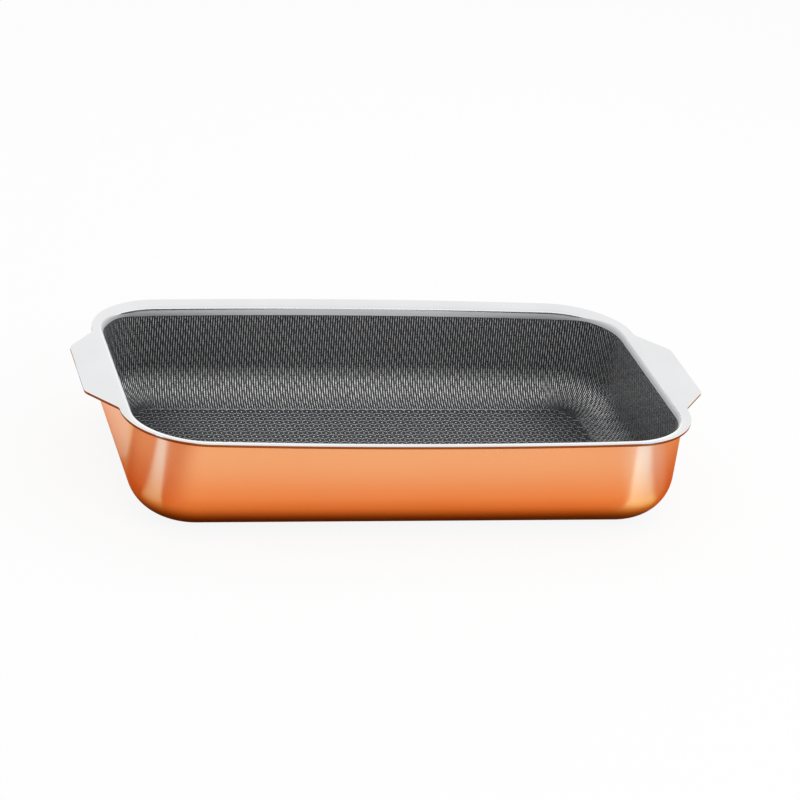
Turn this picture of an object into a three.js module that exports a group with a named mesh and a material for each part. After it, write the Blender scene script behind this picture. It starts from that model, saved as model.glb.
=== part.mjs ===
// An oblong roasting pan, pressed from one bonded sheet of copper, aluminium and stainless steel.
// A nonstick lining covers its well, and the rim runs out into a flat gripping lug at each end.
// Millimetres, +Z up. The origin is on the table, under the middle of the floor.
import * as THREE from "three";
import { mergeGeometries, mergeVertices } from "three/addons/utils/BufferGeometryUtils.js";

const { degToRad } = THREE.MathUtils;

// The pan as a whole
const RIM_LENGTH = 364; // over the rim's edge at the two ends, without the lugs
const RIM_WIDTH = 231; // over the rim's edge at the middle of the long sides
const PAN_HEIGHT = 68;
const RIM_CORNER_RADIUS = 48;
const LEAST_CORNER_RADIUS = 1; // where the floor is drawn in further than the corners are round
const SIDE_BOW = 6.6; // how far the rim bulges at the middle of a long side, while the floor stays straight

// The plies of the sheet, from the outside in
const COPPER_THICKNESS = 0.4;
const ALUMINIUM_THICKNESS = 1.5;
const STEEL_THICKNESS = 0.5;
const LINING_THICKNESS = 0.2;

// The section of the wall and the rim
const FLOOR_FILLET_RADIUS = 26.5; // inside the well
const WALL_SLOPE = degToRad(88);
const BARE_BAND = 4.4; // bare steel on the wall, between the lining and the turn of the rim
const RIM_TURN_RADIUS = 1.1; // under the rim, where the wall turns over
const RIM_SLOPE = degToRad(11);
const RIM_SLOPE_RUN = 2.4; // level distance covered by the sloping part of the rim
const RIM_CREST_RADIUS = 2.6; // under the rim, where the slope eases into the level edge
const RIM_LAND = 0.9; // level sheet inside the copper hem

// The gripping lugs
const LUG_REACH = 18; // how far a lug stands out past the rim's edge
const LUG_SIDE_ANGLE = degToRad(36); // between a lug's side and the end of the pan
const LUG_ROOT_FILLET = 7;
const LUG_TIP_RADIUS = 8;

// The finish of each ply
const COPPER_FINISH = { color: 0xd9793f, roughness: 0.28, metalness: 1 };
const ALUMINIUM_FINISH = { color: 0xc9ccd0, roughness: 0.45, metalness: 1 };
const STEEL_FINISH = { color: 0xdedfe1, roughness: 0.16, metalness: 1 };
const LINING_FINISH = { color: 0x3b3b3d, roughness: 0.5, metalness: 0 };

// Straight pieces that stand for each round stretch
const CORNER_STEPS = 6;
const SIDE_STEPS = 4;
const LUG_ARC_DIVISIONS = 1;
const FILLET_STEPS = 4;
const TURN_STEPS = 3;
const CREST_STEPS = 2;

const sheetThickness = COPPER_THICKNESS + ALUMINIUM_THICKNESS + STEEL_THICKNESS;
const level = 0;

// The section is a list of points on the steel face, from the edge of the floor out to the rim's edge.
// Each has its distance out, its height and the slope of the sheet there.
const section = [{ out: 0, up: sheetThickness, slope: level }];

function addStraight(length) {
  const { out, up, slope } = section.at(-1);
  section.push({ out: out + length * Math.cos(slope), up: up + length * Math.sin(slope), slope });
}

// A bend rolls the sheet up where the slope grows, and over where it falls.
function addBend(radius, endSlope, steps) {
  const start = section.at(-1);
  const turn = endSlope - start.slope;
  const signedRadius = radius * Math.sign(turn);
  for (let step = 1; step <= steps; step++) {
    const slope = start.slope + (turn * step) / steps;
    section.push({
      out: start.out + signedRadius * (Math.sin(slope) - Math.sin(start.slope)),
      up: start.up + signedRadius * (Math.cos(start.slope) - Math.cos(slope)),
      slope,
    });
  }
}

// The straight wall takes the height that the floor fillet and the rim leave.
const turnRadius = RIM_TURN_RADIUS + sheetThickness;
const crestRadius = RIM_CREST_RADIUS + sheetThickness;
const filletRise = FLOOR_FILLET_RADIUS * (1 - Math.cos(WALL_SLOPE));
const turnRise = turnRadius * (Math.cos(RIM_SLOPE) - Math.cos(WALL_SLOPE));
const slopeRise = RIM_SLOPE_RUN * Math.tan(RIM_SLOPE);
const crestRise = crestRadius * (1 - Math.cos(RIM_SLOPE));
const wallRise = PAN_HEIGHT - sheetThickness - filletRise - turnRise - slopeRise - crestRise;

addBend(FLOOR_FILLET_RADIUS, WALL_SLOPE, FILLET_STEPS);
addStraight(wallRise / Math.sin(WALL_SLOPE) - BARE_BAND);
const liningEnd = section.length;
addStraight(BARE_BAND);
addBend(turnRadius, RIM_SLOPE, TURN_STEPS);
addStraight(RIM_SLOPE_RUN / Math.cos(RIM_SLOPE));
addBend(crestRadius, level, CREST_STEPS);
addStraight(RIM_LAND + COPPER_THICKNESS);
const rimEdge = section.at(-1);

// One half of a lug's outline: x is the place across the end of the pan, y the reach of the lug there.
// Its root starts where the corner of the rim ends.
const endHalfWidth = RIM_WIDTH / 2 - SIDE_BOW - RIM_CORNER_RADIUS;
const rootSetback = LUG_ROOT_FILLET * Math.tan(LUG_SIDE_ANGLE / 2);
const tipSetback = LUG_TIP_RADIUS * Math.tan(LUG_SIDE_ANGLE / 2);
const tipHalfWidth = endHalfWidth - rootSetback - LUG_REACH / Math.tan(LUG_SIDE_ANGLE);
const rootStart = -Math.PI / 2;
const tipEnd = Math.PI / 2;
const lugHalf = new THREE.Path()
  .absarc(
    endHalfWidth,
    LUG_ROOT_FILLET,
    LUG_ROOT_FILLET,
    rootStart,
    rootStart - LUG_SIDE_ANGLE,
    true,
  )
  .absarc(
    tipHalfWidth - tipSetback,
    LUG_REACH - LUG_TIP_RADIUS,
    LUG_TIP_RADIUS,
    tipEnd - LUG_SIDE_ANGLE,
    tipEnd,
    false,
  )
  .getPoints(LUG_ARC_DIVISIONS);

// Stations stand round the rim. Each has its place along the straight parts of the sides, from -1 to 1
// between the corners, the way out from the pan there, and the reach of the lug.
function cornerStations(alongX, alongY, startAngle) {
  return Array.from({ length: CORNER_STEPS }, (_, step) => {
    const angle = startAngle + ((Math.PI / 2) * step) / CORNER_STEPS;
    return { alongX, alongY, outX: Math.cos(angle), outY: Math.sin(angle), reach: 0 };
  });
}

const sideStations = Array.from({ length: SIDE_STEPS }, (_, step) => ({
  alongX: 1 - (2 * step) / SIDE_STEPS,
  alongY: 1,
  outX: 0,
  outY: 1,
  reach: 0,
}));

function lugStation(point, end) {
  return { alongX: end, alongY: point.x / endHalfWidth, outX: end, outY: 0, reach: point.y };
}

// Half of the rim runs from the +X lug along the +Y side to the other lug. Turned half round, it is the rest.
const halfRim = [
  ...lugHalf
    .slice(1)
    .reverse()
    .map((point) => lugStation(point, 1)),
  ...cornerStations(1, 1, 0),
  ...sideStations,
  ...cornerStations(-1, 1, Math.PI / 2),
  ...lugHalf.map((point) => lugStation(point, -1)),
];
const stations = [
  ...halfRim,
  ...halfRim.map((s) => ({
    alongX: -s.alongX,
    alongY: -s.alongY,
    outX: -s.outX,
    outY: -s.outY,
    reach: s.reach,
  })),
];

// One ring round the pan, on a point of the section moved to a depth below the steel face.
// The rim's edge also runs out to the lugs, less the hem where a ply stops inside it.
function ring(point, depth, hem = 0) {
  const out = point.out - rimEdge.out + depth * Math.sin(point.slope);
  const up = point.up - depth * Math.cos(point.slope);
  const halfLength = RIM_LENGTH / 2 + out;
  const halfWidth = RIM_WIDTH / 2 - SIDE_BOW + out;
  const radius = Math.max(RIM_CORNER_RADIUS + out, LEAST_CORNER_RADIUS);
  const bowHere = SIDE_BOW * ((point.up - sheetThickness) / (PAN_HEIGHT - sheetThickness));
  return stations.map((s) => {
    const x = s.alongX * (halfLength - radius) + s.outX * radius;
    const y = s.alongY * (halfWidth - radius) + s.outY * radius;
    const bulge = s.alongY * bowHere * (1 - (x / halfLength) ** 2);
    const further = point === rimEdge ? s.reach - hem : 0;
    return new THREE.Vector3(x + s.outX * further, y + s.outY * further + bulge, up);
  });
}

// The face of a ply at one depth, as rings from the middle of the floor outwards.
function plyFace(points, depth, hem = 0) {
  const middle = stations.map(() => new THREE.Vector3(0, 0, sheetThickness - depth));
  return [middle, ...points.map((point) => ring(point, depth, hem))];
}

// The skin between rings. Its upper side faces out of the ply unless it is turned over.
function skin(rings, turned) {
  const corners = [];
  for (let row = 0; row + 1 < rings.length; row++) {
    for (let here = 0; here < stations.length; here++) {
      const next = (here + 1) % stations.length;
      const [a, b] = [rings[row][here], rings[row][next]];
      const [c, d] = [rings[row + 1][next], rings[row + 1][here]];
      corners.push(...(turned ? [a, b, d, b, c, d] : [a, d, b, b, d, c]));
    }
  }
  return new THREE.BufferGeometry().setFromPoints(corners);
}

// A ply is closed by its upper skin, its lower skin and the edge that runs up between their last rings.
function plyGeometry(upper, lower, edge) {
  const skins = [skin(upper, false), skin(lower, true), skin(edge, true)];
  const geometry = mergeVertices(mergeGeometries(skins));
  geometry.computeVertexNormals();
  return geometry;
}

const pan = new THREE.Group();
pan.name = "roasting_pan";

function addPiece(name, geometry, finish) {
  const mesh = new THREE.Mesh(geometry, new THREE.MeshStandardMaterial(finish));
  mesh.name = name;
  pan.add(mesh);
}

const hem = COPPER_THICKNESS;
const steelBack = STEEL_THICKNESS;
const coreBack = STEEL_THICKNESS + ALUMINIUM_THICKNESS;

// The copper skin turns up at the rim's edge, as a hem round the core, and the steel lies over both.
const copperUpper = plyFace(section, coreBack, hem);
const copperLower = plyFace(section, sheetThickness);
const copperHem = [
  copperLower.at(-1),
  ring(rimEdge, steelBack),
  ring(rimEdge, steelBack, hem),
  copperUpper.at(-1),
];
addPiece("copper_outer_ply", plyGeometry(copperUpper, copperLower, copperHem), COPPER_FINISH);

const coreUpper = plyFace(section, steelBack, hem);
const coreLower = plyFace(section, coreBack, hem);
const coreEdge = [coreLower.at(-1), coreUpper.at(-1)];
addPiece("aluminium_core", plyGeometry(coreUpper, coreLower, coreEdge), ALUMINIUM_FINISH);

const steelUpper = plyFace(section, 0);
const steelLower = plyFace(section, steelBack);
const steelEdge = [steelLower.at(-1), steelUpper.at(-1)];
addPiece("steel_inner_ply", plyGeometry(steelUpper, steelLower, steelEdge), STEEL_FINISH);

// The lining lies on the steel, up to the bare band.
const lined = section.slice(0, liningEnd);
const liningUpper = plyFace(lined, -LINING_THICKNESS);
const liningLower = plyFace(lined, 0);
const liningEdge = [liningLower.at(-1), liningUpper.at(-1)];
addPiece("nonstick_coating", plyGeometry(liningUpper, liningLower, liningEdge), LINING_FINISH);

export default pan;
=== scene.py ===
import math

import bmesh
import bpy
from mathutils import Euler, Matrix, Vector


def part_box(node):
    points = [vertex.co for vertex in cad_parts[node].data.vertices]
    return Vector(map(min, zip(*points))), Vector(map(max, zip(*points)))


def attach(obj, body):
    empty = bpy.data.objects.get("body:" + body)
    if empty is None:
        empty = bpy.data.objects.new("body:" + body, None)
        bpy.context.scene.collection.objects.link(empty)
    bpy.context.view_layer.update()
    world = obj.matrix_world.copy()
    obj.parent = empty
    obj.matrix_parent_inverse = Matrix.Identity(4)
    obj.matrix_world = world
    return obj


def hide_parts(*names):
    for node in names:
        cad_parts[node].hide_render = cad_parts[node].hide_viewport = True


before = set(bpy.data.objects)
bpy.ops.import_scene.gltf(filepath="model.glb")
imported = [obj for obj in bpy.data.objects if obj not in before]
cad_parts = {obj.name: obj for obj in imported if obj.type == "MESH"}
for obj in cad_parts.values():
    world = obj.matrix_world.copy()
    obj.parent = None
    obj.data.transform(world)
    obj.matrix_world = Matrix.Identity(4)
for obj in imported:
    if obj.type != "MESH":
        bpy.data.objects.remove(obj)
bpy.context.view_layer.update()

# Copper skin
# The outside of the pan is copper sheet, drawn over the floor, the round fillet, the wall and the rim's
# underside in one pressing. Its edge is folded up as a hem round the core, under the steel.
MM = 0.001
RIM_CORNER_RADIUS = 48 * MM
SIDE_BOW = 6.6 * MM  # how far the rim bulges at the middle of a long side
FLOOR_FILLET_RADIUS = 26.5 * MM  # inside the well
WALL_SLOPE = math.radians(88)
RIM_TURN_RADIUS = 1.1 * MM  # under the rim
RIM_SLOPE = math.radians(11)
RIM_SLOPE_RUN = 2.4 * MM
RIM_CREST_RADIUS = 2.6 * MM  # under the rim
RIM_LAND = 0.9 * MM  # level steel inside the hem
LUG_REACH = 18 * MM
LUG_SIDE_ANGLE = math.radians(36)
LUG_ROOT_FILLET = 7 * MM
LUG_TIP_RADIUS = 8 * MM
HEM_FOLD_RADIUS = 0.8 * MM
FLOOR_BORDER = 1.5 * MM  # flat border that keeps the fillet's shading off the floor
WELD_DISTANCE = MM / 1000  # between vertices that are made one
NEARBY = MM / 100  # between vertices that count as on one line or level

# The frame gives the outer sizes and the thickness of each ply.
pan_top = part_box("steel_inner_ply")[1]
copper_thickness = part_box("aluminium_core")[0].z
steel_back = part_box("steel_inner_ply")[0].z
sheet_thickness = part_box("nonstick_coating")[0].z
lining_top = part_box("nonstick_coating")[1].z
steel_thickness = sheet_thickness - steel_back
core_back = sheet_thickness - copper_thickness  # depth of the core's outer face below the steel face
rim_half_length = pan_top.x - LUG_REACH
corner_x = rim_half_length - RIM_CORNER_RADIUS
corner_y = pan_top.y - SIDE_BOW - RIM_CORNER_RADIUS

# The wall takes the height, and the floor the width, that the bends leave.
turn_radius = RIM_TURN_RADIUS + sheet_thickness
crest_radius = RIM_CREST_RADIUS + sheet_thickness
fillet_rise = FLOOR_FILLET_RADIUS * (1 - math.cos(WALL_SLOPE))
turn_rise = turn_radius * (math.cos(RIM_SLOPE) - math.cos(WALL_SLOPE))
slope_rise = RIM_SLOPE_RUN * math.tan(RIM_SLOPE)
crest_rise = crest_radius * (1 - math.cos(RIM_SLOPE))
wall_rise = pan_top.z - sheet_thickness - fillet_rise - turn_rise - slope_rise - crest_rise
wall_length = wall_rise / math.sin(WALL_SLOPE)
turn_run = turn_radius * (math.sin(WALL_SLOPE) - math.sin(RIM_SLOPE))
crest_run = crest_radius * math.sin(RIM_SLOPE)
fillet_run = FLOOR_FILLET_RADIUS * math.sin(WALL_SLOPE)
rim_run = turn_run + RIM_SLOPE_RUN + crest_run + RIM_LAND + copper_thickness
floor_corner_radius = RIM_CORNER_RADIUS - fillet_run - wall_length * math.cos(WALL_SLOPE) - rim_run

FILLET_STEPS = 16
TURN_STEPS = 6
CREST_STEPS = 4
CORNER_STEPS = 24
HALF_SIDE_STEPS = 10
LUG_ARC_STEPS = 8
HEM_FOLD_STEPS = 4


def vertices_of(geometry):
    """The vertices among what an operator returns."""
    return [part for part in geometry if isinstance(part, bmesh.types.BMVert)]


def edges_of(geometry):
    """The edges among what an operator returns."""
    return [part for part in geometry if isinstance(part, bmesh.types.BMEdge)]


def bend(bm, tip, slope, radius, turn, steps):
    """Draws the section on from its tip round a bend: up where turn is positive, over where it isn't."""
    inward = Vector((0, -math.sin(slope), math.cos(slope)))
    centre = tip.co + inward * math.copysign(radius, turn)
    made = bmesh.ops.spin(bm, geom=[tip], cent=centre, axis=(1, 0, 0), angle=turn, steps=steps)
    return vertices_of(made["geom_last"])[0]


def run_on(bm, tip, step):
    """Draws a line on from its tip in a straight step."""
    tip = bmesh.ops.extrude_vert_indiv(bm, verts=[tip])["verts"][0]
    bmesh.ops.translate(bm, verts=[tip], vec=step)
    return tip


def along(slope, length):
    """A step of the section at a slope."""
    return Vector((0, length * math.cos(slope), length * math.sin(slope)))


def draw_section(bm, depth, land):
    """The section from the floor's edge to the rim's, at a depth below the steel face and about a corner."""
    tip = bm.verts.new((0, floor_corner_radius, sheet_thickness - depth))
    tip = bend(bm, tip, 0, FLOOR_FILLET_RADIUS + depth, WALL_SLOPE, FILLET_STEPS)
    tip = run_on(bm, tip, along(WALL_SLOPE, wall_length))
    tip = bend(bm, tip, WALL_SLOPE, turn_radius - depth, RIM_SLOPE - WALL_SLOPE, TURN_STEPS)
    tip = run_on(bm, tip, along(RIM_SLOPE, RIM_SLOPE_RUN / math.cos(RIM_SLOPE)))
    tip = bend(bm, tip, RIM_SLOPE, crest_radius - depth, -RIM_SLOPE, CREST_STEPS)
    return run_on(bm, tip, along(0, land))


def carry(bm, edges, step, count):
    """Pushes a section on along a straight side."""
    for _ in range(count):
        made = bmesh.ops.extrude_edge_only(bm, edges=edges)["geom"]
        fresh = set(vertices_of(made))
        bmesh.ops.translate(bm, verts=list(fresh), vec=step)
        edges = [edge for edge in edges_of(made) if fresh.issuperset(edge.verts)]


def sweep_quarter(bm):
    """Sweeps the section round one corner, and on to the middle of the long side and of the end."""
    start = list(bm.edges)
    swept = bmesh.ops.spin(
        bm,
        geom=list(bm.verts) + start,
        cent=(0, 0, 0),
        axis=(0, 0, 1),
        angle=-math.pi / 2,
        steps=CORNER_STEPS,
    )
    end = edges_of(swept["geom_last"])
    bmesh.ops.translate(bm, verts=bm.verts, vec=(corner_x, corner_y, 0))
    carry(bm, start, Vector((-corner_x / HALF_SIDE_STEPS, 0, 0)), HALF_SIDE_STEPS)
    carry(bm, end, Vector((0, -corner_y, 0)), 1)


def draw_lug(bm, inset):
    """Half of a lug's outline, from the end of the rim's corner to the middle of the lug."""
    edge_x = rim_half_length - inset
    root = max((v for v in bm.verts if abs(v.co.y - corner_y) < NEARBY), key=lambda v: v.co.x)
    root_radius = LUG_ROOT_FILLET + inset
    tip_radius = LUG_TIP_RADIUS - inset
    root_centre = Vector((edge_x + root_radius, corner_y, root.co.z))
    setback = (LUG_ROOT_FILLET + LUG_TIP_RADIUS) * math.tan(LUG_SIDE_ANGLE / 2)
    tip_middle = corner_y - setback - LUG_REACH / math.tan(LUG_SIDE_ANGLE)
    tip_centre = Vector((pan_top.x - LUG_TIP_RADIUS, tip_middle, root.co.z))
    across = Vector((math.cos(LUG_SIDE_ANGLE), math.sin(LUG_SIDE_ANGLE), 0))
    upright = (0, 0, 1)
    made = bmesh.ops.spin(
        bm, geom=[root], cent=root_centre, axis=upright, angle=LUG_SIDE_ANGLE, steps=LUG_ARC_STEPS
    )
    tip = vertices_of(made["geom_last"])[0]
    tip = run_on(bm, tip, tip_centre + tip_radius * across - tip.co)
    made = bmesh.ops.spin(
        bm, geom=[tip], cent=tip_centre, axis=upright, angle=-LUG_SIDE_ANGLE, steps=LUG_ARC_STEPS
    )
    tip = vertices_of(made["geom_last"])[0]
    run_on(bm, tip, Vector((0, -tip.co.y, 0)))


def mirror_quarter(bm):
    """Makes the whole pan of one quarter."""
    for axis in ("X", "Y"):
        whole = list(bm.verts) + list(bm.edges) + list(bm.faces)
        bmesh.ops.mirror(bm, geom=whole, matrix=Matrix.Identity(4), merge_dist=WELD_DISTANCE, axis=axis)
    bmesh.ops.remove_doubles(bm, verts=bm.verts, dist=WELD_DISTANCE)


def fill_floor(bm):
    """Closes the floor with a flat face inside a narrow border."""
    floor_z = min(v.co.z for v in bm.verts)
    rim = [e for e in bm.edges if e.is_boundary and all(v.co.z < floor_z + NEARBY for v in e.verts)]
    floor = bmesh.ops.edgeloop_fill(bm, edges=rim)["faces"]
    bmesh.ops.inset_region(bm, faces=floor, thickness=FLOOR_BORDER, use_even_offset=True)


def fill_lugs(bm, inset):
    """Closes both lugs between their outline and the end of the rim."""
    edge_x = rim_half_length - inset
    for end in (1, -1):
        loop = [
            edge
            for edge in bm.edges
            if len(edge.link_faces) < 2
            and all(v.co.x * end > edge_x - NEARBY for v in edge.verts)
            and all(abs(v.co.y) < corner_y + NEARBY for v in edge.verts)
        ]
        bmesh.ops.edgeloop_fill(bm, edges=loop)


def bow_sides(bm):
    """Bulges the long sides, fully at the rim and not at all at the floor."""
    for v in bm.verts:
        past_x = abs(v.co.x) - corner_x
        past_y = abs(v.co.y) - corner_y
        reach = math.hypot(past_x, past_y) if min(past_x, past_y) > 0 else max(past_x, past_y)
        height = min(max(v.co.z, sheet_thickness), pan_top.z - sheet_thickness)
        share = (height - sheet_thickness) / (pan_top.z - 2 * sheet_thickness)
        side = max(-1, min(1, v.co.y / corner_y))
        middle = max(0, 1 - (v.co.x / (corner_x + reach)) ** 2)
        v.co.y += SIDE_BOW * share * side * middle


def press_sheet(depth, inset):
    """One face of the pan's sheet at a depth below the steel face, with its edge set in from the rim's."""
    bm = bmesh.new()
    draw_section(bm, depth, RIM_LAND + copper_thickness - inset)
    sweep_quarter(bm)
    draw_lug(bm, inset)
    mirror_quarter(bm)
    fill_floor(bm)
    fill_lugs(bm, inset)
    return bm


def thicken(bm, thickness, upwards):
    """Gives a sheet its thickness behind a face that looks up into the well, or down and out."""
    bmesh.ops.recalc_face_normals(bm, faces=bm.faces)
    floor = max(bm.faces, key=lambda face: face.calc_area())
    if (floor.normal.z > 0) != upwards:
        bmesh.ops.reverse_faces(bm, faces=bm.faces)
    bow_sides(bm)
    bm.normal_update()
    bmesh.ops.solidify(bm, geom=list(bm.faces), thickness=thickness)


SHARP_ANGLE = math.radians(35)


def make_piece(name, bm, sharp_angle):
    """A piece of the object from its mesh, smooth but for its sharp edges."""
    mesh = bpy.data.meshes.new(name)
    for face in bm.faces:
        face.smooth = True
    bm.to_mesh(mesh)
    bm.free()
    mesh.set_sharp_from_angle(angle=sharp_angle)
    piece = bpy.data.objects.new(name, mesh)
    bpy.context.scene.collection.objects.link(piece)
    return piece


copper_mesh = press_sheet(sheet_thickness, 0)
fold = [edge for edge in copper_mesh.edges if edge.is_boundary]
folded = bmesh.ops.extrude_edge_only(copper_mesh, edges=fold)["geom"]
bmesh.ops.translate(copper_mesh, verts=vertices_of(folded), vec=(0, 0, steel_back))
bmesh.ops.recalc_face_normals(copper_mesh, faces=copper_mesh.faces)
bmesh.ops.bevel(
    copper_mesh,
    geom=fold,
    offset=HEM_FOLD_RADIUS,
    affect="EDGES",
    segments=HEM_FOLD_STEPS,
    profile=0.5,
    material=-1,
)
thicken(copper_mesh, copper_thickness, upwards=False)
copper_skin = make_piece("copper_skin", copper_mesh, SHARP_ANGLE)


class Value:
    """A number at one place of a surface, in a finish's node tree. Arithmetic on it adds Math nodes."""

    def __init__(self, finish, output):
        self.finish = finish
        self.output = output

    def combine(self, operation, first, second):
        return self.finish.node("ShaderNodeMath", {"operation": operation}, {0: first, 1: second})

    def __add__(self, other):
        return self.combine("ADD", self, other)

    def __radd__(self, other):
        return self.combine("ADD", other, self)

    def __sub__(self, other):
        return self.combine("SUBTRACT", self, other)

    def __rsub__(self, other):
        return self.combine("SUBTRACT", other, self)

    def __mul__(self, other):
        return self.combine("MULTIPLY", self, other)


class Finish:
    """The nodes of a material, or of the room round the pan."""

    def __init__(self, material):
        self.material = material
        material.use_nodes = True
        self.tree = material.node_tree
        self.surface = next(n for n in self.tree.nodes if not n.name.endswith("Output"))

    def node(self, kind, settings, inputs, output=0):
        """Adds a node with its settings, then its inputs by name or number, and returns one output."""
        made = self.tree.nodes.new(kind)
        for name, setting in settings.items():
            setattr(made, name, setting)
        for name, given in inputs.items():
            self.feed(made.inputs[name], given)
        return Value(self, made.outputs[output])

    def feed(self, socket, given):
        """Links a value to a socket, or sets a number or colour on it."""
        if isinstance(given, Value):
            self.tree.links.new(given.output, socket)
        else:
            socket.default_value = given

    def set(self, **inputs):
        """Feeds the shader's own sockets, named with _ for a space."""
        for name, given in inputs.items():
            self.feed(self.surface.inputs[name.replace("_", " ")], given)

    def place(self):
        """The place on the object, in metres."""
        return self.node("ShaderNodeTexCoord", {}, {}, "Object")

    def part(self, vector, axis):
        """One part of a vector, along X, Y or Z."""
        return self.node("ShaderNodeSeparateXYZ", {}, {0: vector}, axis)

    def size_of(self, vector):
        """A vector with each part made positive."""
        return self.node("ShaderNodeVectorMath", {"operation": "ABSOLUTE"}, {0: vector})

    def ray(self, name):
        """1 where a kind of ray sees the surface, and 0 elsewhere."""
        return self.node("ShaderNodeLightPath", {}, {}, name)

    def ramp(self, given, low, high):
        """A smooth step from 0 to 1 between two values."""
        settings = {"interpolation_type": "SMOOTHSTEP"}
        return self.node("ShaderNodeMapRange", settings, {"Value": given, "From Min": low, "From Max": high})

    def noise(self, place, scale=1, detail=3):
        """Cloudy noise from 0 to 1, with so many features a metre, or as many as the place is stretched."""
        return self.node("ShaderNodeTexNoise", {}, {"Vector": place, "Scale": scale, "Detail": detail})

    def mix(self, share, first, second):
        """A colour between two colours."""
        settings = {"data_type": "RGBA"}
        return self.node("ShaderNodeMix", settings, {0: share, 6: first, 7: second}, 2)

    def bump(self, height, strength, distance):
        """A normal tilted by a height."""
        inputs = {"Height": height, "Strength": strength, "Distance": distance}
        return self.node("ShaderNodeBump", {}, inputs)

    def stretch(self, place, scale):
        """The place with each axis scaled, for a drawn-out pattern."""
        return self.node("ShaderNodeVectorMath", {"operation": "MULTIPLY"}, {0: place, 1: scale})


def linear(red, green, blue):
    """A colour given as it looks on a screen, from 0 to 255, for a shader's socket, by the sRGB curve."""
    shares = [level / 255 for level in (red, green, blue)]
    return [s / 12.92 if s <= 0.04045 else ((s + 0.055) / 1.055) ** 2.4 for s in shares] + [1]


COPPER = linear(254, 178, 123)
SHADED_DEEP_COPPER = linear(248, 126, 42)
SHADED_FOOT_COPPER = linear(118, 36, 8)
SHADED_HEM_COPPER = linear(152, 80, 34)
EDGE_TINT = (0.9, 0.6, 0.4, 1)  # of copper seen at a low angle
WALL_FADE = (8 * MM, 60 * MM)  # heights between which the painted shade of the low wall fades, and the copper turns paler
DEEP_SHARE = 0.94
CLOUD_SHARE = 0.1
FOOT_SHADE_START = (0.4 * MM, 2.4 * MM)  # heights where the painted shade of the foot begins, round the flat base
FOOT_SHADE_END = (7 * MM, 21 * MM)  # heights where it fades into the wall
HEM_SHADE_START = (0.05 * MM, 0.4 * MM)  # heights above the rim's underside where the hem's painted brown shade begins
COPPER_CLOUDS = 14  # a metre
BRUSH_LINES = (30, 30, 1200)  # a metre, along X, Y and Z
BRUSH_DEPTH = 0.2 * MM
BRUSH_STRENGTH = 0.02
COPPER_ROUGHNESS = 0.26
CLOUD_ROUGHNESS = 0.04  # added in the clouds, of the steel too
BRUSH_ROUGHNESS = 0.05
copper = Finish(bpy.data.materials.new("polished_copper"))
place = copper.place()
height = copper.part(place, "Z")
low_wall_shade = 1 - copper.ramp(height, *WALL_FADE)
clouds = copper.noise(place, COPPER_CLOUDS)
brushing = copper.noise(copper.stretch(place, BRUSH_LINES))
# Painted shade: the copper is painted deeper and darker low on the wall, paler towards the top; the clouds
# mixed in are a tone that varies at random.
tone = copper.mix(low_wall_shade * DEEP_SHARE + clouds * CLOUD_SHARE, COPPER, SHADED_DEEP_COPPER)
# Painted shade: the foot is painted a dark brown, for the dark contact shade it mirrors.
foot = copper.ramp(height, *FOOT_SHADE_START) * (1 - copper.ramp(height, *FOOT_SHADE_END))
tone = copper.mix(foot, tone, SHADED_FOOT_COPPER)
rim_underside = pan_top.z - sheet_thickness
# Painted shade: the hem is painted dark brown, for the shade seen under the rim's edge.
hem_shade = copper.ramp(height, *(rim_underside + level for level in HEM_SHADE_START))
copper.set(
    Base_Color=copper.mix(hem_shade, tone, SHADED_HEM_COPPER),
    Metallic=1.0,
    Roughness=COPPER_ROUGHNESS + clouds * CLOUD_ROUGHNESS + brushing * BRUSH_ROUGHNESS,
    Anisotropic=0.95,
    Anisotropic_Rotation=0.25,
    Specular_Tint=EDGE_TINT,
    Normal=copper.bump(brushing, BRUSH_STRENGTH, BRUSH_DEPTH),
)
copper_skin.data.materials.append(copper.material)
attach(copper_skin, "root")
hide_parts("copper_outer_ply")

# Aluminium core
# The thick middle ply of soft aluminium spreads the heat. It is bonded between the other two,
# ends inside the hem and shows nowhere on a whole pan.
core_mesh = press_sheet(core_back, copper_thickness)
thicken(core_mesh, core_back - steel_thickness, upwards=False)
core_sheet = make_piece("core_sheet", core_mesh, SHARP_ANGLE)
MILL_ALUMINIUM = linear(201, 204, 208)
DULL_ALUMINIUM = linear(178, 182, 187)
ROLLING_LINES = (30, 900, 900)  # a metre, along X, Y and Z
ALUMINIUM_ROUGHNESS = 0.4
ROLLING_ROUGHNESS = 0.15
aluminium = Finish(bpy.data.materials.new("mill_aluminium"))
rolling = aluminium.noise(aluminium.stretch(aluminium.place(), ROLLING_LINES), detail=2)
aluminium.set(
    Base_Color=aluminium.mix(rolling, MILL_ALUMINIUM, DULL_ALUMINIUM),
    Metallic=1.0,
    Roughness=ALUMINIUM_ROUGHNESS + rolling * ROLLING_ROUGHNESS,
)
core_sheet.data.materials.append(aluminium.material)
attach(core_sheet, "root")
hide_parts("aluminium_core")

# Steel skin
# The inside of the sheet is polished stainless steel. It shows on the rim, on the two lugs and as a bare
# band at the top of the wall, and carries the lining everywhere else.
STEEL_EDGE_RADIUS = 0.2 * MM
STEEL_EDGE_STEPS = 2
CUT_EDGE_ANGLE = math.radians(60)  # least angle between the steel's face and its cut edge
STEEL_SHARP_ANGLE = math.radians(20)  # keeps the edge's rounding out of the flat lugs' shading
steel_mesh = press_sheet(0, 0)
thicken(steel_mesh, steel_thickness, upwards=True)
top_edge = [
    edge
    for edge in steel_mesh.edges
    if all(v.co.z > pan_top.z - NEARBY for v in edge.verts) and edge.calc_face_angle(0) > CUT_EDGE_ANGLE
]
bmesh.ops.bevel(
    steel_mesh,
    geom=top_edge,
    offset=STEEL_EDGE_RADIUS,
    affect="EDGES",
    segments=STEEL_EDGE_STEPS,
    profile=0.5,
    material=-1,
)
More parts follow.
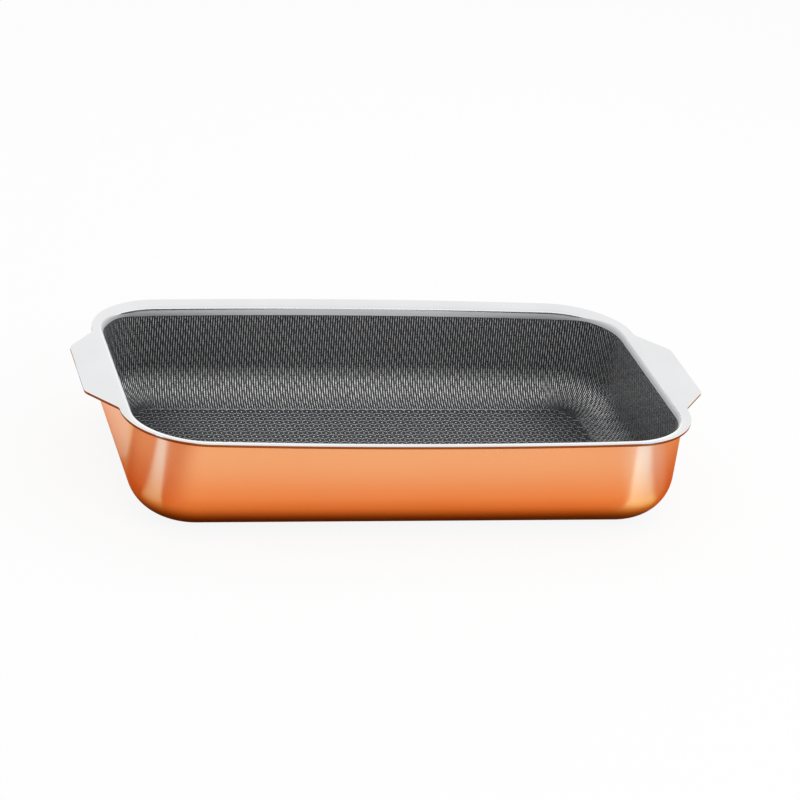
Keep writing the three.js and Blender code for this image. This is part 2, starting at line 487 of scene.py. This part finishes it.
steel_skin = make_piece("steel_skin", steel_mesh, STEEL_SHARP_ANGLE)
BRIGHT_STEEL = linear(238, 238, 239)
GREY_STEEL = linear(226, 227, 228)
STEEL_CLOUDS = 25  # a metre
POLISH_LINES = (60, 900, 900)  # a metre, along X, Y and Z
STEEL_ROUGHNESS = 0.1
POLISH_ROUGHNESS = 0.04
SATIN_ROUGHNESS = 0.14  # added at the lining's edge, where the polish ends
UPPER_SATIN = 0.2  # added to that at the turn of the rim
END_SATIN = 0.4  # added to that at the pan's ends
SATIN_END = (1.1 * MM, 0.4 * MM)  # depths below the turn where the satin ends
END_SATIN_RISE = 3.4 * MM  # how much further up the satin reaches at the pan's ends
END_FADE = (15 * MM, 40 * MM)  # past the corner's start, where the satin rises
steel = Finish(bpy.data.materials.new("polished_steel"))
place = steel.place()
clouds = steel.noise(place, STEEL_CLOUDS)
polishing = steel.noise(steel.stretch(place, POLISH_LINES))
turn_foot = pan_top.z - crest_rise - slope_rise - turn_rise
far_along = steel.part(steel.size_of(place), "X")
end_share = steel.ramp(far_along, *(corner_x + past for past in END_FADE))
height = steel.part(place, "Z")
satin = 1 - steel.ramp(height - end_share * END_SATIN_RISE, *(turn_foot - depth for depth in SATIN_END))
near_turn = steel.ramp(height, lining_top, turn_foot)
satin_roughness = SATIN_ROUGHNESS + near_turn * UPPER_SATIN + end_share * END_SATIN
polished_roughness = STEEL_ROUGHNESS + clouds * CLOUD_ROUGHNESS + polishing * POLISH_ROUGHNESS
steel.set(
    Base_Color=steel.mix(clouds, BRIGHT_STEEL, GREY_STEEL),
    Metallic=1.0,
    Roughness=polished_roughness + satin * satin_roughness,
    Normal=steel.bump(polishing, BRUSH_STRENGTH, BRUSH_DEPTH),
)
steel_skin.data.materials.append(steel.material)
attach(steel_skin, "root")
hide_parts("steel_inner_ply")

# Nonstick lining
# A charcoal coating is sprayed over the steel in the well and baked on. It stops a few millimetres below
# the rim, closer to it at the pan's ends, and fills the pattern's hollows to just under its ridges.
LINING_THICKNESS = 0.2 * MM
LINING_WALL_STEPS = 6  # so that the wall follows the bow closely under the ridges
END_LINING_RISE = 2.8 * MM  # how much further up the lining reaches at the pan's ends
END_RISE_START = 5 * MM  # past the start of the corner
END_RISE_RUN = 25 * MM
lining_face = sheet_thickness + LINING_THICKNESS
wall_foot = sheet_thickness + fillet_rise
lining_wall = (lining_top - wall_foot) / math.sin(WALL_SLOPE)


def past_corners(place):
    """How far a place lies outside the lines between the centres of the pan's corners, along X and Y."""
    return max(abs(place.x) - corner_x, 0), max(abs(place.y) - corner_y, 0)


def raise_ends(bm):
    """Draws what lies on the wall further up towards the pan's ends, most of all at the lining's edge."""
    for vertex in bm.verts:
        past_x, past_y = past_corners(vertex.co)
        outward = Vector((math.copysign(past_x, vertex.co.x), math.copysign(past_y, vertex.co.y), 0))
        up_wall = outward.normalized() * math.cos(WALL_SLOPE) + Vector((0, 0, math.sin(WALL_SLOPE)))
        turned = max(0, min(1, (past_x - END_RISE_START) / END_RISE_RUN))
        eased = turned**2 * (3 - 2 * turned)
        raised = max(0, (vertex.co.z - wall_foot) / (lining_top - wall_foot))
        vertex.co += up_wall * (END_LINING_RISE * eased * raised)


lining_mesh = bmesh.new()
tip = lining_mesh.verts.new((0, floor_corner_radius, lining_face))
tip = bend(lining_mesh, tip, 0, FLOOR_FILLET_RADIUS - LINING_THICKNESS, WALL_SLOPE, FILLET_STEPS)
for _ in range(LINING_WALL_STEPS):
    tip = run_on(lining_mesh, tip, along(WALL_SLOPE, lining_wall / LINING_WALL_STEPS))
sweep_quarter(lining_mesh)
mirror_quarter(lining_mesh)
raise_ends(lining_mesh)
fill_floor(lining_mesh)
thicken(lining_mesh, LINING_THICKNESS, upwards=True)
lining_skin = make_piece("lining_skin", lining_mesh, SHARP_ANGLE)
CHARCOAL = linear(29, 30, 32)
SHEEN_FLOOR_CHARCOAL = linear(60, 61, 63)
SPECK = linear(84, 85, 87)
SPECKS = 2600  # a metre
SPECK_FADE = (0.55, 0.7)  # levels of the noise between which a speck comes up
SPECK_SHARE = 0.5
GRAINS = 900  # a metre
GRAIN_STRENGTH = 0.25
GRAIN_DEPTH = 0.1 * MM
LINING_ROUGHNESS = 0.26
GRAIN_ROUGHNESS = 0.14
FLOOR_SHEEN_END = (2.8 * MM, 4.5 * MM)  # heights between which the floor's painted sheen, a paler grey, ends
FLOOR_END_FADE = (95 * MM, 150 * MM)  # from the pan's middle, where painted shade darkens the floor towards its ends
FLOOR_END_SHADE = 0.6
lining = Finish(bpy.data.materials.new("nonstick_lining"))
place = lining.place()
specks = lining.ramp(lining.noise(place, SPECKS, detail=2), *SPECK_FADE)
grain = lining.noise(place, GRAINS, detail=4)
# Painted light: the floor's coating is painted paler than the wall's, for the sheen it catches.
floor_sheen = 1 - lining.ramp(lining.part(place, "Z"), *FLOOR_SHEEN_END)
# Painted shade: the floor's coating is painted darker towards the pan's ends.
floor_end_shade = lining.ramp(lining.part(lining.size_of(place), "X"), *FLOOR_END_FADE)
charcoal = lining.mix(floor_sheen * (1 - floor_end_shade * FLOOR_END_SHADE), CHARCOAL, SHEEN_FLOOR_CHARCOAL)
lining.set(
    Base_Color=lining.mix(specks * SPECK_SHARE, charcoal, SPECK),
    Roughness=LINING_ROUGHNESS + grain * GRAIN_ROUGHNESS,
    Normal=lining.bump(grain, GRAIN_STRENGTH, GRAIN_DEPTH),
)
lining_skin.data.materials.append(lining.material)
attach(lining_skin, "root")
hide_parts("nonstick_coating")

# Honeycomb ridges
# The steel of the floor is etched with a honeycomb, whose fine ridges stand just proud of the lining, with
# a small stud in each cell. It runs on to the foot of the fillet, and ends there at a fine raised line.
CELL_PITCH = 6.35 * MM
RIDGE_HALF_WIDTH = 0.13 * MM
RIDGE_FOOT = 0.03 * MM  # how far a ridge's foot is sunk in the lining
RIDGE_SHOULDER = 0.02 * MM  # height of a ridge's sides above the lining
RIDGE_HEIGHT = 0.12 * MM
STUD_RADIUS = 0.6 * MM
STUD_TOP_RADIUS = 0.4 * MM
STUD_HEIGHT = 0.18 * MM
STUD_SIDES = 8
BORDER_WIDTH = 0.25 * MM
COMB_REACH = 6 * MM  # how far the honeycomb runs on past the flat floor
TRIM_STEPS = 6  # straight cuts that trim the comb round each corner
RIDGE_SHARP_ANGLE = math.radians(70)
comb_corner_radius = floor_corner_radius + COMB_REACH
row_step = CELL_PITCH * math.sqrt(3) / 2
most_columns = math.ceil((corner_x + comb_corner_radius) / CELL_PITCH) + 1
most_rows = math.ceil((corner_y + comb_corner_radius) / row_step) + 1
cell_centres = [
    Vector(((column + 0.5 * (row % 2)) * CELL_PITCH, row * row_step, lining_face - RIDGE_FOOT))
    for row in range(-most_rows, most_rows + 1)
    for column in range(-most_columns, most_columns + 1)
]


def lay_on_fillet(bm):
    """Lifts what lies past the flat floor on to the foot of the fillet."""
    radius = FLOOR_FILLET_RADIUS - LINING_THICKNESS
    for vertex in bm.verts:
        run = max(math.hypot(*past_corners(vertex.co)) - floor_corner_radius, 0)
        vertex.co.z += radius - math.sqrt(radius**2 - run**2)


comb_mesh = bmesh.new()
crest = comb_mesh.verts.layers.float.new("crest")
for centre in cell_centres:
    bmesh.ops.create_circle(
        comb_mesh,
        cap_ends=True,
        segments=6,
        radius=CELL_PITCH / math.sqrt(3),
        matrix=Matrix.Translation(centre),
    )
bmesh.ops.remove_doubles(comb_mesh, verts=comb_mesh.verts, dist=NEARBY)
for vertex in comb_mesh.verts:
    vertex[crest] = 1
cells = list(comb_mesh.faces)
bmesh.ops.inset_individual(comb_mesh, faces=cells, thickness=RIDGE_HALF_WIDTH, use_even_offset=True)
for cell in cells:
    for vertex in cell.verts:
        vertex[crest] = 0
bmesh.ops.delete(comb_mesh, geom=cells, context="FACES")
for side_x, side_y in ((1, 1), (1, -1), (-1, 1), (-1, -1)):
    for step in range(TRIM_STEPS + 1):
        angle = math.pi / 2 * step / TRIM_STEPS
        way = Vector((side_x * math.cos(angle), side_y * math.sin(angle), 0))
        bmesh.ops.bisect_plane(
            comb_mesh,
            geom=list(comb_mesh.verts) + list(comb_mesh.edges) + list(comb_mesh.faces),
            plane_co=Vector((side_x * corner_x, side_y * corner_y, 0)) + way * comb_corner_radius,
            plane_no=way,
            clear_outer=True,
        )
made = bmesh.ops.extrude_face_region(comb_mesh, geom=list(comb_mesh.faces))["geom"]
for vertex in vertices_of(made):
    vertex.co.z += RIDGE_FOOT + RIDGE_SHOULDER + vertex[crest] * (RIDGE_HEIGHT - RIDGE_SHOULDER)
lay_on_fillet(comb_mesh)
bmesh.ops.recalc_face_normals(comb_mesh, faces=comb_mesh.faces)
honeycomb_ridges = make_piece("honeycomb_ridges", comb_mesh, RIDGE_SHARP_ANGLE)

stud_mesh = bmesh.new()
stud_depth = RIDGE_FOOT + STUD_HEIGHT
for centre in cell_centres:
    if math.hypot(*past_corners(centre)) < comb_corner_radius - STUD_RADIUS:
        bmesh.ops.create_cone(
            stud_mesh,
            cap_ends=True,
            segments=STUD_SIDES,
            radius1=STUD_RADIUS,
            radius2=STUD_TOP_RADIUS,
            depth=stud_depth,
            matrix=Matrix.Translation(centre + Vector((0, 0, stud_depth / 2))),
        )
lay_on_fillet(stud_mesh)
honeycomb_studs = make_piece("honeycomb_studs", stud_mesh, RIDGE_SHARP_ANGLE)

border_mesh = bmesh.new()
inner = border_mesh.verts.new((0, comb_corner_radius - BORDER_WIDTH / 2, lining_face - RIDGE_FOOT))
run_on(border_mesh, inner, Vector((0, BORDER_WIDTH, 0)))
sweep_quarter(border_mesh)
mirror_quarter(border_mesh)
made = bmesh.ops.extrude_face_region(border_mesh, geom=list(border_mesh.faces))["geom"]
bmesh.ops.translate(border_mesh, verts=vertices_of(made), vec=(0, 0, RIDGE_FOOT + RIDGE_HEIGHT))
lay_on_fillet(border_mesh)
bmesh.ops.recalc_face_normals(border_mesh, faces=border_mesh.faces)
honeycomb_border = make_piece("honeycomb_border", border_mesh, SHARP_ANGLE)

RIDGE_STEEL = linear(252, 252, 253)
DULL_RIDGE = linear(150, 151, 154)
SHADED_RIDGE = linear(96, 97, 99)
WORN_PATCHES = 1500  # a metre
WEAR_FADE = (0.4, 0.7)  # levels of the noise between which a worn patch comes up
LOW_FADE = (4 * MM, 8 * MM)  # heights where the dull ridges of the floor end
CORNER_FOOT_FADE = (6 * MM, 14 * MM)  # heights where the painted shade at the foot of the corners ends
UPPER_FADE = (14 * MM, 34 * MM)  # heights where the wall's ridges turn dull
END_WALL_FADE = (15 * MM, 35 * MM)  # past the corner's start, along the pan
END_FOOT_RUN = 18 * MM  # the same, at the foot of the end
CORNER_RUN = 25 * MM  # across the pan, where the painted shade at the foot of the end fades into the corner
END_FILLET_SHARE = 0.55
CORNER_FOOT_SHARE = 0.5
DULL_SHARE = 0.8  # how much of their metal look the dull ridges lose
END_SHEEN = 0.6  # how much of it the end walls keep
RIDGE_ROUGHNESS = 0.2
WORN_ROUGHNESS = 0.1  # added where worn
UPPER_ROUGHNESS = 0.4  # added on the upper wall
ridge_steel = Finish(bpy.data.materials.new("ridge_steel"))
place = ridge_steel.place()
wear = ridge_steel.ramp(ridge_steel.noise(place, WORN_PATCHES, detail=2), *WEAR_FADE)
height = ridge_steel.part(place, "Z")
upper = ridge_steel.ramp(height, *UPPER_FADE)
low = 1 - ridge_steel.ramp(height, *LOW_FADE)
from_middle = ridge_steel.size_of(place)
far_along = ridge_steel.part(from_middle, "X")
far_across = ridge_steel.part(from_middle, "Y")
end_wall = ridge_steel.ramp(far_along, *(corner_x + past for past in END_WALL_FADE))
end_foot = ridge_steel.ramp(far_along, corner_x, corner_x + END_FOOT_RUN)
in_corner = ridge_steel.ramp(far_across, corner_y - CORNER_RUN, corner_y)
end_fillet = end_foot * (1 - in_corner) * (1 - upper)
end_floor = low * ridge_steel.ramp(far_along, *FLOOR_END_FADE) * (1 - end_fillet)
corner_foot = end_foot * (1 - ridge_steel.ramp(height, *CORNER_FOOT_FADE)) * (1 - end_fillet) * (1 - low)
# Painted shade: the ridges are painted darker at the foot of the ends and corners, and on the floor towards
# the ends.
ridge_shade = end_fillet * END_FILLET_SHARE + end_floor * FLOOR_END_SHADE + corner_foot * CORNER_FOOT_SHARE
dull = low * (1 - end_foot) + upper * (1 - end_wall * END_SHEEN)
tone = ridge_steel.mix(wear, RIDGE_STEEL, DULL_RIDGE)
ridge_steel.set(
    Base_Color=ridge_steel.mix(ridge_shade, tone, SHADED_RIDGE),
    Metallic=1 - dull * DULL_SHARE,
    Roughness=RIDGE_ROUGHNESS + wear * WORN_ROUGHNESS + upper * UPPER_ROUGHNESS,
)
for piece in (honeycomb_ridges, honeycomb_studs, honeycomb_border):
    piece.data.materials.append(ridge_steel.material)
    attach(piece, "root")

# Wall ridges
# On the fillet and the wall the pattern is drawn out into upright dashes. Their columns start at the comb's
# raised line, step up by about a third of a period each, and close up round the foot of each corner.
COLUMN_PITCH = 1.64 * MM
DASH_PERIOD = 7.7 * MM
DASH_LENGTH = 7.3 * MM
LEAST_DASH = 1.5 * MM  # shorter ends of a column are left out
DASH_HALF_WIDTH = 0.23 * MM
FILLET_SWELL = 0.8  # how much wider a dash is half way round the fillet
DASH_TIP = 0.3  # share of its width and height at a dash's ends
COLUMN_KINDS = 9  # columns before their steps repeat
COLUMN_STEP = 1 / 3  # of a period, from each column to the next
COLUMN_WANDER = 0.07  # of a period, the most by which a column departs from its step
WANDER_TURN = 2.4  # radians of the wander's wave, from each column to the next
wall_radius = floor_corner_radius + fillet_run
side_columns = 2 * round(corner_x / COLUMN_PITCH)
end_columns = 2 * round(corner_y / COLUMN_PITCH)
corner_columns = round(wall_radius * math.pi / 2 / COLUMN_PITCH)
foot_radius = FLOOR_FILLET_RADIUS - LINING_THICKNESS + RIDGE_FOOT
foot_start = Vector((0, floor_corner_radius, lining_face - RIDGE_FOOT))
fillet_length = foot_radius * WALL_SLOPE
dash_start = foot_radius * math.asin(COMB_REACH / foot_radius)
dash_end = fillet_length + lining_wall


def slope_at(length):
    """The slope of the lined well, at a length up its section from the floor's edge."""
    return min(length / foot_radius, WALL_SLOPE)


def section_place(length):
    """The place on a ridge's foot, at a length up the section of the lined well."""
    slope = slope_at(length)
    on_fillet = Vector((0, math.sin(slope), 1 - math.cos(slope))) * foot_radius
    return foot_start + on_fillet + along(WALL_SLOPE, max(length - fillet_length, 0))


def draw_column(bm, kind, fanned):
    """One column of dashes about a corner's axis, on the +Y wall. Fanned, it narrows towards that axis."""
    fullness = bm.verts.layers.float.new("fullness")
    height = bm.verts.layers.float.new("height")
    slope = bm.verts.layers.float.new("slope")
    phase = (kind * COLUMN_STEP + COLUMN_WANDER * math.sin(kind * WANDER_TURN)) % 1
    foot = dash_start + (phase - 1) * DASH_PERIOD
    while foot < dash_end:
        low = max(foot, dash_start)
        head = min(foot + DASH_LENGTH, dash_end)
        foot += DASH_PERIOD
        if head - low < LEAST_DASH:
            continue
        lengths = (low, (low + head) / 2, head)
        tip = bm.verts.new(section_place(low))
        dash = [tip]
        for before, after in zip(lengths, lengths[1:]):
            tip = run_on(bm, tip, section_place(after) - section_place(before))
            dash.append(tip)
        for vertex, length, share in zip(dash, lengths, (DASH_TIP, 1, DASH_TIP)):
            vertex[fullness] = share * (1 + FILLET_SWELL * math.sin(2 * slope_at(length)) ** 2)
            vertex[slope] = slope_at(length)
    line = list(bm.verts) + list(bm.edges)
    if fanned:
        half_angle = DASH_HALF_WIDTH / wall_radius
        bmesh.ops.rotate(bm, verts=bm.verts, cent=(0, 0, 0), matrix=Matrix.Rotation(half_angle, 3, "Z"))
        bmesh.ops.spin(bm, geom=line, cent=(0, 0, 0), axis=(0, 0, 1), angle=-2 * half_angle, steps=2)
    else:
        bmesh.ops.translate(bm, verts=bm.verts, vec=(-DASH_HALF_WIDTH, 0, 0))
        carry(bm, edges_of(line), Vector((DASH_HALF_WIDTH, 0, 0)), 2)
    for vertex in bm.verts:
        vertex.co.x *= vertex[fullness]
        on_crest = abs(vertex.co.x) < NEARBY
        vertex[height] = RIDGE_HEIGHT * vertex[fullness] if on_crest else RIDGE_SHOULDER
    made = bmesh.ops.extrude_face_region(bm, geom=list(bm.faces))["geom"]
    for vertex in vertices_of(made):
        inward = Vector((0, -math.sin(vertex[slope]), math.cos(vertex[slope])))
        vertex.co += inward * (RIDGE_FOOT + vertex[height])
    bmesh.ops.recalc_face_normals(bm, faces=bm.faces)


def lay_columns(bm, number, fanned, places):
    """Lays columns at their places, and returns the number of the next one."""
    kinds = []
    for kind in range(COLUMN_KINDS):
        pattern = bmesh.new()
        draw_column(pattern, kind, fanned)
        kinds.append(bpy.data.meshes.new("column"))
        pattern.to_mesh(kinds[kind])
        pattern.free()
    for matrix in places:
        before = len(bm.verts)
        bm.from_mesh(kinds[number % COLUMN_KINDS])
        bm.verts.ensure_lookup_table()
        bmesh.ops.transform(bm, matrix=matrix, verts=bm.verts[before:])
        number += 1
    for mesh in kinds:
        bpy.data.meshes.remove(mesh)
    return number


def stretch_places(start, step, count):
    """Places for columns along a straight stretch of wall, or round a corner, from its start."""
    places = []
    half_step = step(0.5)
    for number in range(count):
        places.append(start @ step(number) @ half_step)
    return places


dash_mesh = bmesh.new()
quarter_turn = math.pi / 2
side_pitch = 2 * corner_x / side_columns
end_pitch = 2 * corner_y / end_columns
corner_turn = quarter_turn / corner_columns
side_start = Matrix.Translation((corner_x, corner_y, 0))
left_start = Matrix.Translation((-corner_x, corner_y, 0))
end_start = left_start @ Matrix.Rotation(quarter_turn, 4, "Z")
near_start = Matrix.Translation((-corner_x, -corner_y, 0)) @ Matrix.Rotation(quarter_turn, 4, "Z")
number = 0
for fanned, start, step, count in (
    (False, side_start, lambda n: Matrix.Translation((-n * side_pitch, 0, 0)), side_columns),
    (True, left_start, lambda n: Matrix.Rotation(n * corner_turn, 4, "Z"), corner_columns),
    (False, end_start, lambda n: Matrix.Translation((-n * end_pitch, 0, 0)), end_columns),
    (True, near_start, lambda n: Matrix.Rotation(n * corner_turn, 4, "Z"), corner_columns),
):
    number = lay_columns(dash_mesh, number, fanned, stretch_places(start, step, count))
half = list(dash_mesh.verts) + list(dash_mesh.edges) + list(dash_mesh.faces)
bmesh.ops.spin(
    dash_mesh, geom=half, cent=(0, 0, 0), axis=(0, 0, 1), angle=math.pi, steps=1, use_duplicate=True
)
raise_ends(dash_mesh)
bow_sides(dash_mesh)
wall_ridges = make_piece("wall_ridges", dash_mesh, RIDGE_SHARP_ANGLE)
wall_ridges.data.materials.append(ridge_steel.material)
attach(wall_ridges, "root")

# Studio
# The pan stands on pale paper in a white room, with a large soft lamp above it, behind and to the right, and
# a smaller one in front. Cool bright cards on the paper, beside the pan's front corners and its left end,
# are there for the copper to mirror. The camera has the photograph's own view.
STAGE_SIZE = 8.0
PAPER_GAP = 0.2 * MM  # between the paper and the pan's floor
PAPER = (0.92, 0.92, 0.92, 1)
WARM_SHADED_PAPER = (0.6, 0.18, 0.03, 1)  # a painted warm shade on the paper beside the pan's ends, that only metal sees
PAPER_GLOW = 0.9  # share of plain white in what is seen of the paper
SHADE_START = 10 * MM  # from the pan's floor, where metal sees the paper's own shade
SHADE_END = 110 * MM
END_SHADE = 0.9  # how much of that painted warm shade is seen
WARM_START = (20 * MM, 70 * MM)  # past the corners' centres, where the painted warm shade begins
WARM_END = (130 * MM, 200 * MM)  # and where it ends
WARM_BACK = (10 * MM, 60 * MM)  # behind the pan's middle, where it ends too
ROOM_LIGHT = 0.72
FRONT_SHADE = 0.04
FRONT_FADE = (0.2, 0.75)  # of a way out, by how much it points to the front
HORIZON_GLOW = 0.3
HORIZON_FADE = (0.08, 0.25)  # of a way out, by how much it points up or down

paper_mesh = bmesh.new()
bmesh.ops.create_grid(paper_mesh, x_segments=1, y_segments=1, size=STAGE_SIZE / 2)
bmesh.ops.translate(paper_mesh, verts=paper_mesh.verts, vec=(0, 0, -PAPER_GAP))
studio_paper = make_piece("studio_paper", paper_mesh, SHARP_ANGLE)
paper = Finish(bpy.data.materials.new("pale_paper"))
white = paper.node("ShaderNodeEmission", {}, {"Color": (1, 1, 1, 1)})
place = paper.place()
reach = paper.size_of(place)
reach = paper.node("ShaderNodeVectorMath", {"operation": "SUBTRACT"}, {0: reach, 1: (corner_x, corner_y, 0)})
reach = paper.node("ShaderNodeVectorMath", {"operation": "MAXIMUM"}, {0: reach, 1: (0, 0, 0)})
distance = paper.node("ShaderNodeVectorMath", {"operation": "LENGTH"}, {0: reach}, "Value")
away = paper.ramp(distance, floor_corner_radius + SHADE_START, floor_corner_radius + SHADE_END)
past_end = paper.part(reach, "X")
past_end = paper.ramp(past_end, *WARM_START) * (1 - paper.ramp(past_end, *WARM_END))
past_end = past_end * (1 - paper.ramp(paper.part(place, "Y"), *WARM_BACK)) * END_SHADE
seen_by_eye = paper.ray("Is Camera Ray") + paper.ray("Is Transmission Ray")
seen_by_metal = paper.ray("Is Glossy Ray")
glow = (seen_by_eye + seen_by_metal * away * (1 - past_end)) * PAPER_GLOW
# Painted shade: metal sees a warm dark patch painted on the paper beside the pan's ends.
paper.set(
    Base_Color=paper.mix(seen_by_metal * past_end, PAPER, WARM_SHADED_PAPER), Roughness=1.0, Specular_IOR_Level=0
)
plain = Value(paper, paper.surface.outputs[0])
shaded = paper.node("ShaderNodeMixShader", {}, {0: glow, 1: plain, 2: white})
paper.feed(paper.tree.nodes["Material Output"].inputs["Surface"], shaded)
studio_paper.data.materials.append(paper.material)

room = bpy.data.worlds.new("white_room")
bpy.context.scene.world = room
walls = Finish(room)
way = walls.node("ShaderNodeTexCoord", {}, {}, "Generated")
front = walls.part(way, "Y") * -1
horizon = 1 - walls.ramp(walls.part(walls.size_of(way), "Z"), *HORIZON_FADE)
mirrored = 1 - walls.ramp(front, *FRONT_FADE) * FRONT_SHADE + horizon * HORIZON_GLOW
eye = walls.ray("Is Camera Ray")
glass = walls.ray("Is Transmission Ray")
metal = walls.ray("Is Glossy Ray")
lit = 1 - (eye + glass + metal)
walls.set(Color=(1, 1, 1, 1), Strength=eye + glass + metal * mirrored + lit * ROOM_LIGHT)


def add_lamp(name, size, colour, brightness):
    """A soft rectangular lamp that the camera doesn't see. A white wall in full light has brightness 1."""
    lamp = bpy.data.lights.new(name, "AREA")
    lamp.shape = "RECTANGLE"
    lamp.size, lamp.size_y = size
    lamp.color = colour
    lamp.energy = brightness * math.pi * size[0] * size[1]
    holder = bpy.data.objects.new(name, lamp)
    holder.visible_camera = False
    bpy.context.scene.collection.objects.link(holder)
    return holder


WHITE_LIGHT = (1, 1, 1)
COOL_LIGHT = (0.08, 0.44, 1)
for name, size, brightness, location in (
    ("top_panel", (1.3, 0.8), 1.1, Vector((0.45, 0.35, 1.15))),
    ("front_panel", (0.9, 0.5), 2.2, Vector((0.26, -0.95, 0.85))),
):
    panel = add_lamp(name, size, WHITE_LIGHT, brightness)
    panel.location = location
    panel.rotation_euler = (-location).to_track_quat("-Z", "Y").to_euler()
    panel.visible_glossy = False

# Each card lies just above the paper, with one long edge on a line that runs out from its own start,
# beside the pan.
CARD_LENGTH = 145 * MM
CARD_GAP = 10 * MM  # between the start and the card
for name, start, turn, side, width, brightness in (
    ("right_card", Vector((0.136, -0.104, MM)), math.radians(-57), 1, 50 * MM, 3.6),
    ("right_fade", Vector((0.166, -0.084, MM)), math.radians(-57), 1, 60 * MM, 1.0),
    ("left_card", Vector((-0.163, -0.092, MM)), math.radians(-152), -1, 32 * MM, 2.8),
    ("end_card", Vector((-0.18, 0.0, MM)), math.radians(90), 1, 70 * MM, 1.8),
):
    card = add_lamp(name, (CARD_LENGTH, width), COOL_LIGHT, brightness)
    out = Vector((math.cos(turn), math.sin(turn), 0))
    across = Vector((-out.y, out.x, 0)) * side
    card.location = start + out * (CARD_GAP + CARD_LENGTH / 2) + across * (width / 2)
    card.rotation_euler = (math.pi, 0, turn)

LENS = 146.84  # millimetres
SENSOR = 36  # millimetres
CAMERA_PLACE = Vector((-0.502903, -1.847170, 0.884234))
CAMERA_TURN = Euler([math.radians(degrees) for degrees in (66.25756, -5.93066, -12.90656)])
camera_data = bpy.data.cameras.new("photo_camera")
camera_data.sensor_width = SENSOR
camera_data.lens = LENS
camera = bpy.data.objects.new("photo_camera", camera_data)
bpy.context.scene.collection.objects.link(camera)
bpy.context.scene.camera = camera
camera.matrix_world = Matrix.LocRotScale(CAMERA_PLACE, CAMERA_TURN, None)

bpy.context.scene.view_settings.view_transform = "Standard"
